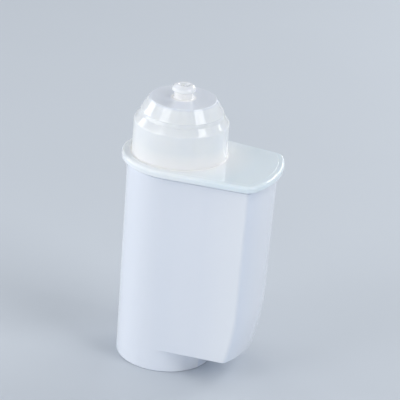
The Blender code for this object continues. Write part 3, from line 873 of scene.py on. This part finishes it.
class Look:
    """One node-based material, built up from its Principled shader."""

    def __init__(self, name, **values):
        self.material = bpy.data.materials.new(name)
        self.material.use_nodes = True
        self.tree = self.material.node_tree
        self.shader = self.tree.nodes["Principled BSDF"]
        self.place = self.add("ShaderNodeTexCoord").outputs["Object"]
        for socket, value in values.items():
            self.shader.inputs[socket.replace("_", " ")].default_value = value

    def add(self, kind, **values):
        """Adds a node and sets its inputs by name."""
        node = self.tree.nodes.new(kind)
        for socket, value in values.items():
            node.inputs[socket.replace("_", " ")].default_value = value
        return node

    def link(self, source, target):
        """Joins an output to an input."""
        self.tree.links.new(source, target)

    def stretched(self, scale):
        """Coordinates scaled differently along each axis."""
        node = self.add("ShaderNodeMapping", Scale=scale)
        self.link(self.place, node.inputs["Vector"])
        return node.outputs["Vector"]

    def noise(self, scale, detail, place=None):
        """Noise whose features are about 1/scale metres wide."""
        node = self.add("ShaderNodeTexNoise", Scale=scale, Detail=detail)
        self.link(place or self.place, node.inputs["Vector"])
        return node.outputs["Fac"]

    def attribute(self, name):
        """A number that the mesh carries at each vertex."""
        node = self.add("ShaderNodeAttribute")
        node.attribute_name = name
        return node.outputs["Fac"]

    def height(self):
        """Height above the floor, in metres."""
        node = self.add("ShaderNodeSeparateXYZ")
        self.link(self.place, node.inputs["Vector"])
        return node.outputs["Z"]

    def radius(self):
        """Distance from the cylinder's axis, in metres."""
        level = self.add("ShaderNodeMapping", Location=(-AXIS_X, 0.0, 0.0), Scale=(1.0, 1.0, 0.0))
        self.link(self.place, level.inputs["Vector"])
        node = self.add("ShaderNodeVectorMath")
        node.operation = "LENGTH"
        self.link(level.outputs["Vector"], node.inputs[0])
        return node.outputs["Value"]

    def combined(self, operation, first, second):
        """Two values put through a maths operation."""
        node = self.add("ShaderNodeMath")
        node.operation = operation
        self.link(first, node.inputs[0])
        self.link(second, node.inputs[1])
        return node.outputs["Value"]

    def product(self, first, second):
        """Two values multiplied."""
        return self.combined("MULTIPLY", first, second)

    def ramp(self, value, low, high, start=0.35, end=0.65):
        """Turns a value between start and end into a number between low and high."""
        values = {"From_Min": start, "From_Max": end, "To_Min": low, "To_Max": high}
        node = self.add("ShaderNodeMapRange", **values)
        self.link(value, node.inputs["Value"])
        return node.outputs["Result"]

    def rise(self, value, start, end):
        """Grows from 0 to 1 as a value goes from start to end."""
        return self.ramp(value, 0.0, 1.0, start, end)

    def fall(self, value, start, end):
        """Shrinks from 1 to 0 as a value goes from start to end."""
        return self.ramp(value, 1.0, 0.0, start, end)

    def mottle(self, scale, detail, first, second):
        """Two colours in cloudy patches."""
        return self.blend(self.ramp(self.noise(scale, detail), 0.0, 1.0), first, second)

    def blend(self, share, first, second):
        """Mixes two colours, each a socket or a plain colour."""
        node = self.tree.nodes.new("ShaderNodeMix")
        node.data_type = "RGBA"
        sockets = [item for item in node.inputs if item.type == "RGBA"]
        self.link(share, node.inputs["Factor"])
        for socket, colour in zip(sockets, (first, second)):
            if isinstance(colour, tuple):
                socket.default_value = (*colour, 1.0)
            else:
                self.link(colour, socket)
        return next(item for item in node.outputs if item.type == "RGBA")

    def bump(self, height, distance, below=None):
        """A bump from a height of 0 to 1 that is so many metres deep."""
        node = self.add("ShaderNodeBump", Strength=1.0, Distance=distance)
        self.link(height, node.inputs["Height"])
        if below:
            self.link(below, node.inputs["Normal"])
        return node.outputs["Normal"]

    def finish(self, colour=None, roughness=None, normal=None):
        """Joins the last results to the shader."""
        results = {"Base Color": colour, "Roughness": roughness, "Normal": normal}
        for socket, source in results.items():
            if source:
                self.link(source, self.shader.inputs[socket])
        return self.material


def cover_look():
    """Natural polypropylene: milky, slightly see-through and glossy.

    The knob's head is greyer. Painted shade greys the dome's thin flat top, for the shaded hollow
    seen through it and the weak light from above; painted light whitens the neck, for the glow of
    light scattered into it, and the foot of the dome's wall, for light bounced up from the plate;
    and a painted reflection of bluish surroundings turns the rim plate bluer away from the dome.
    """
    look = Look("cover_plastic", IOR=1.52, Subsurface_Weight=1.0, Subsurface_Scale=0.0012,
                Subsurface_Radius=(1.0, 1.0, 0.95))
    milky = look.mottle(70.0, 3.0, *MILKY_TONES)
    height = look.height()
    radius = look.radius()
    near_neck = (NECK_RADIUS + NECK_FILLET, NECK_RADIUS + 3 * NECK_FILLET)
    near_wall = (DOME_RADIUS + DOME_FOOT_FILLET / 2, DOME_RADIUS + 2 * DOME_FOOT_FILLET)
    over_wall = look.rise(height, DOME_TOP - 2 * TOP_EDGE_RADIUS, DOME_TOP - TOP_EDGE_RADIUS / 2)
    # painted shade on the flat top, painted light on the neck
    top_shade = look.product(over_wall, look.rise(radius, *near_neck))
    neck = look.product(over_wall, look.fall(radius, *near_neck))
    low = look.fall(height, PLATE_TOP, PLATE_TOP + DOME_FOOT_LIGHT_RISE)
    # painted light from the plate on the foot of the dome's wall
    foot = look.product(low, look.fall(radius, *near_wall))
    # painted reflection on the plate, bluer further from the dome
    plate = look.product(low, look.rise(radius, *near_wall))
    head = look.rise(height, KNOB_WIDEST - KNOB_UNDERSIDE / 2, KNOB_WIDEST + KNOB_CROWN / 2)
    far = look.rise(radius, DOME_RADIUS, DOME_RADIUS + PLATE_REFLECTION_FADE)
    colour = look.blend(top_shade, milky, FLAT_TOP_SHADE_TONE)
    colour = look.blend(neck, colour, NECK_LIGHT_TONE)
    colour = look.blend(head, colour, HEAD_TONE)
    colour = look.blend(foot, colour, FOOT_BOUNCE_LIGHT_TONE)
    colour = look.blend(plate, colour, look.blend(far, *PLATE_REFLECTION_TONES))
    gloss = look.ramp(look.noise(240.0, 4.0), 0.04, 0.07)
    waves = look.bump(look.noise(130.0, 1.0), 0.00003)
    normal = look.bump(look.noise(2600.0, 2.0), 0.0000015, below=waves)
    return look.finish(colour, gloss, normal)


def housing_look():
    """White opaque plastic with the satin grain of its mould and faint upright bands.

    Next to the fin's corner painted light makes the side a little lighter, and painted shade makes
    the end wall bluer and a little darker.
    """
    look = Look("housing_plastic", IOR=1.49, Subsurface_Weight=0.35, Subsurface_Scale=0.0006,
                Subsurface_Radius=(1.0, 1.0, 1.0))
    bands = look.noise(1.0, 2.0, look.stretched((60.0, 60.0, 5.0)))
    colour = look.blend(look.ramp(bands, 0.0, 1.0), *HOUSING_TONES)
    place = look.attribute(RING_PLACE)
    end, corner = SHELL_STEPS[0], SHELL_STEPS[0] + SHELL_STEPS[1]
    on_side = look.rise(place, end + 1, corner - 1)
    on_end = look.fall(place, end + 1, corner - 1)
    # painted light on the side and painted shade on the end wall, fading out from the corner
    side_light_fade = look.ramp(place, CORNER_SHARE, 0.0, corner, corner + SIDE_FADE_STEPS)
    end_shade_fade = look.ramp(place, 0.0, CORNER_SHARE, end - END_FADE_STEPS, end)
    colour = look.blend(look.product(on_side, side_light_fade), colour, CORNER_SIDE_LIGHT_TONE)
    colour = look.blend(look.product(on_end, end_shade_fade), colour, CORNER_END_SHADE_TONE)
    satin = look.ramp(look.noise(900.0, 3.0), 0.19, 0.25)
    waves = look.bump(look.noise(60.0, 1.0), 0.00008)
    normal = look.bump(look.noise(5200.0, 2.0), 0.000004, below=waves)
    return look.finish(colour, satin, normal)


def inner_look():
    """Natural white plastic, plainly moulded."""
    look = Look("inner_plastic", IOR=1.49, Subsurface_Weight=0.4, Subsurface_Scale=0.0008,
                Subsurface_Radius=(1.0, 1.0, 0.95))
    colour = look.mottle(180.0, 3.0, *INNER_TONES)
    rough = look.ramp(look.noise(700.0, 2.0), 0.38, 0.5)
    normal = look.bump(look.noise(3800.0, 2.0), 0.000006)
    return look.finish(colour, rough, normal)


def fleece_look():
    """Needled white fibres in every direction."""
    look = Look("fleece", Roughness=0.9, Sheen_Weight=0.3, Sheen_Roughness=0.5)
    lengthwise, crosswise, slanting = (look.noise(1.0, 4.0, look.stretched(scale))
                                       for scale in FIBRE_SCALES)
    strands = look.combined("MAXIMUM", lengthwise, crosswise)
    strands = look.combined("MAXIMUM", strands, slanting)
    colour = look.blend(look.rise(strands, 0.42, 0.7), *FLEECE_TONES)
    normal = look.bump(strands, 0.0003)
    return look.finish(colour, None, normal)


def granulate_look():
    """Dark carbon grains among amber and pale resin beads, with painted shade in the gaps between
    them.
    """
    look = Look("granulate", IOR=1.5)
    cells = look.add("ShaderNodeTexVoronoi", Scale=1.0 / BEAD_SIZE, Randomness=0.8)
    look.link(look.place, cells.inputs["Vector"])
    chances = look.add("ShaderNodeSeparateColor")
    look.link(cells.outputs["Color"], chances.inputs["Color"])
    kind = chances.outputs["Red"]
    resin = look.blend(look.rise(chances.outputs["Green"], 0.2, 0.8), *RESIN_TONES)
    carbon = look.mottle(1500.0, 3.0, *CARBON_TONES)
    colour = look.blend(look.rise(kind, *CARBON_LIMITS), carbon, resin)
    away = cells.outputs["Distance"]
    # painted shade in the gaps between the beads
    colour = look.blend(look.ramp(away, 0.0, 0.9, 0.42, 0.62), colour, GAP_SHADE_TONE)
    rough = look.ramp(kind, 0.7, 0.25, *CARBON_LIMITS)
    normal = look.bump(look.fall(look.product(away, away), 0.0, 0.4), BEAD_SIZE / 2)
    return look.finish(colour, rough, normal)


def rubber_look():
    """Soft grey elastomer, matt with a fine bloom."""
    look = Look("seal_rubber", IOR=1.5)
    colour = look.mottle(500.0, 4.0, *RUBBER_TONES)
    rough = look.ramp(look.noise(1200.0, 2.0), 0.5, 0.66)
    normal = look.bump(look.noise(6000.0, 2.0), 0.000008)
    return look.finish(colour, rough, normal)


# Camera, solved from the photograph: angles in degrees, and pixels of its 400 by 400 frame
CAMERA_AZIMUTH = 19.451
CAMERA_ELEVATION = 25.123
CAMERA_ROLL = 4.351
CAMERA_DISTANCE = 0.804913
CAMERA_FOCAL_PIXELS = 1963.07
CAMERA_AIM_PIXELS = (24.247, 21.993)    # the aim point, right and up of the frame's middle
CAMERA_AIM_HEIGHT = 0.060
FRAME_PIXELS = 400
SENSOR_MM = 36.0

# Studio: each softbox's turn to the right of the camera and its height in degrees, its size in
# metres, its watts and its shape
SOFTBOXES = {
    "key": (58.5, 35.0, (0.405, 0.42), 2.4, "RECTANGLE"),
    "key_high": (64.0, 60.0, (0.50, 0.26), 1.1, "RECTANGLE"),
    "fill": (-54.0, 37.0, (0.40, 0.34), 0.88, "ELLIPSE"),
    "fill_low": (-74.0, 12.0, (0.95, 0.40), 3.1, "RECTANGLE"),
    "left_edge": (-110.5, 16.0, (0.44, 0.40), 1.75, "ELLIPSE"),
    "right_edge": (126.0, 31.0, (0.38, 0.30), 1.8, "RECTANGLE"),
    "front_low": (-10.0, 6.0, (0.60, 0.16), 1.45, "RECTANGLE"),
    "back_left": (-152.0, 44.0, (0.46, 0.34), 0.9, "RECTANGLE"),
    "back_right": (150.0, 23.0, (0.46, 0.34), 1.4, "RECTANGLE"),
}
SOFTBOX_DISTANCE = 0.95
WORLD_COLOUR = (0.86, 0.92, 1.0)
WORLD_STRENGTH = 0.30
FLOOR_SIZE = 6.0
AIM = Vector((AXIS_X, 0.0, CAMERA_AIM_HEIGHT))


def direction(azimuth, elevation):
    """Unit vector from the part towards an azimuth, 0 at -Y and 90 at +X, and an elevation."""
    turn = math.radians(azimuth)
    rise = math.radians(elevation)
    level = math.cos(rise)
    return Vector((math.sin(turn) * level, -math.cos(turn) * level, math.sin(rise)))


def looking(location, backwards, rightwards):
    """Matrix of a camera or lamp at a location that looks away from the backwards direction."""
    z_axis = backwards.normalized()
    x_axis = (rightwards - z_axis * rightwards.dot(z_axis)).normalized()
    y_axis = z_axis.cross(x_axis)
    matrix = Matrix((x_axis, y_axis, z_axis)).transposed().to_4x4()
    matrix.translation = location
    return matrix


def make_camera():
    """The photograph's view."""
    back = direction(CAMERA_AZIMUTH, CAMERA_ELEVATION)
    turn = math.radians(CAMERA_AZIMUTH)
    right = Vector((math.cos(turn), math.sin(turn), 0.0))
    up = back.cross(right)
    off_right, off_up = (pixels / CAMERA_FOCAL_PIXELS for pixels in CAMERA_AIM_PIXELS)
    forward = (right * off_right + up * off_up - back).normalized()
    level = (right - forward * right.dot(forward)).normalized()
    across = level.cross(forward)
    roll = math.radians(CAMERA_ROLL)
    rightwards = level * math.cos(roll) + across * math.sin(roll)
    data = bpy.data.cameras.new("camera")
    data.sensor_width = SENSOR_MM
    data.lens = CAMERA_FOCAL_PIXELS * SENSOR_MM / FRAME_PIXELS
    camera = bpy.data.objects.new("camera", data)
    bpy.context.scene.collection.objects.link(camera)
    camera.matrix_world = looking(AIM + back * CAMERA_DISTANCE, -forward, rightwards)
    bpy.context.scene.camera = camera


def make_softbox(name, turn, height, size, watts, shape):
    """One area lamp that faces the part."""
    data = bpy.data.lights.new(name, "AREA")
    data.shape = shape
    data.size, data.size_y = size
    data.energy = watts
    lamp = bpy.data.objects.new(name, data)
    bpy.context.scene.collection.objects.link(lamp)
    towards = direction(CAMERA_AZIMUTH + turn, height)
    sideways = Vector((0, 0, 1)).cross(towards)
    lamp.matrix_world = looking(AIM + towards * SOFTBOX_DISTANCE, towards, sideways)


def make_floor():
    """The plain pale floor."""
    bm = bmesh.new()
    bmesh.ops.create_grid(bm, x_segments=2, y_segments=2, size=FLOOR_SIZE / 2)
    look = Look("floor", Roughness=0.7, Specular_IOR_Level=0.2)
    floor = mesh_piece("floor", bm, look.finish(look.mottle(9.0, 2.0, *FLOOR_TONES)))


def make_studio():
    """Floor, soft lamps, an even world and the camera."""
    make_floor()
    for name, settings in SOFTBOXES.items():
        make_softbox(name, *settings)
    world = bpy.data.worlds.new("studio")
    world.use_nodes = True
    background = world.node_tree.nodes["Background"]
    background.inputs["Color"].default_value = (*WORLD_COLOUR, 1.0)
    background.inputs["Strength"].default_value = WORLD_STRENGTH
    bpy.context.scene.world = world
    bpy.context.scene.view_settings.view_transform = "Standard"
    make_camera()


def build():
    """Every piece with its look."""
    inner = inner_look()
    fleece = fleece_look()
    make_housing(housing_look())
    make_cover(cover_look())
    make_inlet_sieve(inner)
    make_lower_fleece(fleece)
    make_bed(granulate_look())
    make_upper_fleece(fleece)
    make_upper_sieve(inner)
    make_riser(inner)
    make_seal(rubber_look())


build()
make_studio()
